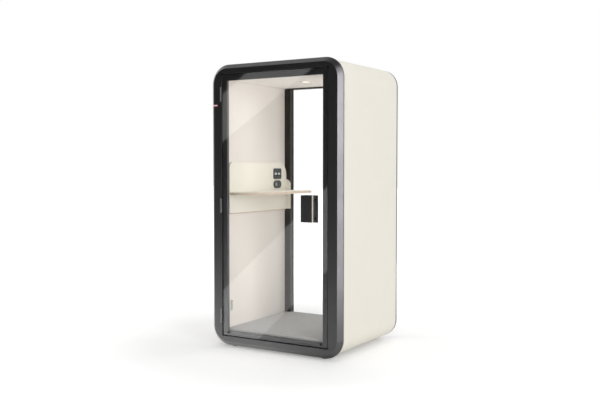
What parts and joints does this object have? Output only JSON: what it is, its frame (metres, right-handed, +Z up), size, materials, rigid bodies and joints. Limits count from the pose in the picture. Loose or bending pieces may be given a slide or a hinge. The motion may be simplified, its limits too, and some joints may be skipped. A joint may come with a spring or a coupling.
{
  "type": "acoustic office pod",
  "caption": "Free-standing phone booth with a rounded cream shell, dark front ring, hinged full-height glass door, fixed glass rear wall and a standing-height wall desk.",
  "frame": {"origin": "on the floor, below the middle of the pod's outer box", "axes": "+Z up, front door faces -Y, +X to the right seen from the front"},
  "size_m": [1.2, 1.016, 2.262],
  "materials": {
    "anthracite": "satin anthracite powder coat",
    "cream": "smooth cream laminate",
    "felt": "fine pale pressed felt",
    "carpet": "grey loop pile",
    "wool": "fibre filling",
    "board": "clear-coated birch ply",
    "steel": "brushed",
    "rubber": "matte black",
    "black_plastic": "fine-textured black",
    "grey_plastic": "fine-textured grey",
    "glow": "opal diffuser",
    "red_glow": "red diffuser",
    "pane": "clear float glass"
  },
  "bodies": {
    "pod": {"base_frame": "board", "floor_deck": "board", "carpet": "carpet", "foot_front_left": "rubber", "foot_front_right": "rubber", "foot_rear_left": "rubber", "foot_rear_right": "rubber", "left_shell": "cream", "right_shell": "cream", "left_core": "wool", "right_core": "wool", "left_lining": "felt", "right_lining": "felt", "front_frame": "anthracite", "status_light": "red_glow", "door_jamb": "anthracite", "door_seal": "rubber", "rear_frame": "anthracite", "rear_glass": "pane", "rear_glass_gasket": "rubber", "rear_trim": "anthracite", "ceiling_panel": "felt", "downlight_can": "cream", "downlight_lens": "glow", "ceiling_grille": "cream", "roof_grille": "anthracite", "fan_tray": "black_plastic", "low_vent": "cream", "roof_core": "wool", "driver_box": "grey_plastic", "power_inlet": "black_plastic", "desk_board": "board", "desk_laminate": "cream", "desk_rail": "cream", "desk_backboard": "cream", "desk_rear_bracket": "cream", "socket_plate": "black_plastic", "socket_insert": "grey_plastic", "control_plate": "black_plastic", "hinge_bottom_frame_leaf": "steel", "hinge_middle_frame_leaf": "steel", "hinge_top_frame_leaf": "steel", "hinge_bottom_pin": "steel", "hinge_middle_pin": "steel", "hinge_top_pin": "steel"},
    "door": {"door_glass": "pane", "door_frame": "anthracite", "glass_bolt_left": "rubber", "glass_bolt_right": "rubber", "handle_outer": "anthracite", "handle_inner": "anthracite", "handle_bolt_lower": "steel", "handle_bolt_upper": "steel", "hinge_bottom_door_leaf": "steel", "hinge_middle_door_leaf": "steel", "hinge_top_door_leaf": "steel"},
    "fan_1": {"fan_1_rotor": "grey_plastic"},
    "fan_2": {"fan_2_rotor": "grey_plastic"},
    "light_button": {"light_button": "grey_plastic"},
    "fan_button": {"fan_button": "black_plastic"}
  },
  "joints": [
    {"name": "door_swing", "type": "hinge", "parent": "pod", "child": "door", "pos_m": [-0.494, -0.4893, 1.1385], "axis": [0, 0, -1], "range_deg": [0, 110]},
    {"name": "fan_1_spin", "type": "hinge", "parent": "pod", "child": "fan_1", "pos_m": [0.33, -0.141, 2.17], "axis": [0, 0, 1], "continuous": true},
    {"name": "fan_2_spin", "type": "hinge", "parent": "pod", "child": "fan_2", "pos_m": [0.33, 0.169, 2.17], "axis": [0, 0, 1], "continuous": true},
    {"name": "light_button_press", "type": "slide", "parent": "pod", "child": "light_button", "axis": [-1, 0, 0], "range_m": [0, 0.002], "stiffness_N_per_m": 800},
    {"name": "fan_button_press", "type": "slide", "parent": "pod", "child": "fan_button", "axis": [-1, 0, 0], "range_m": [0, 0.002], "stiffness_N_per_m": 800}
  ]
}
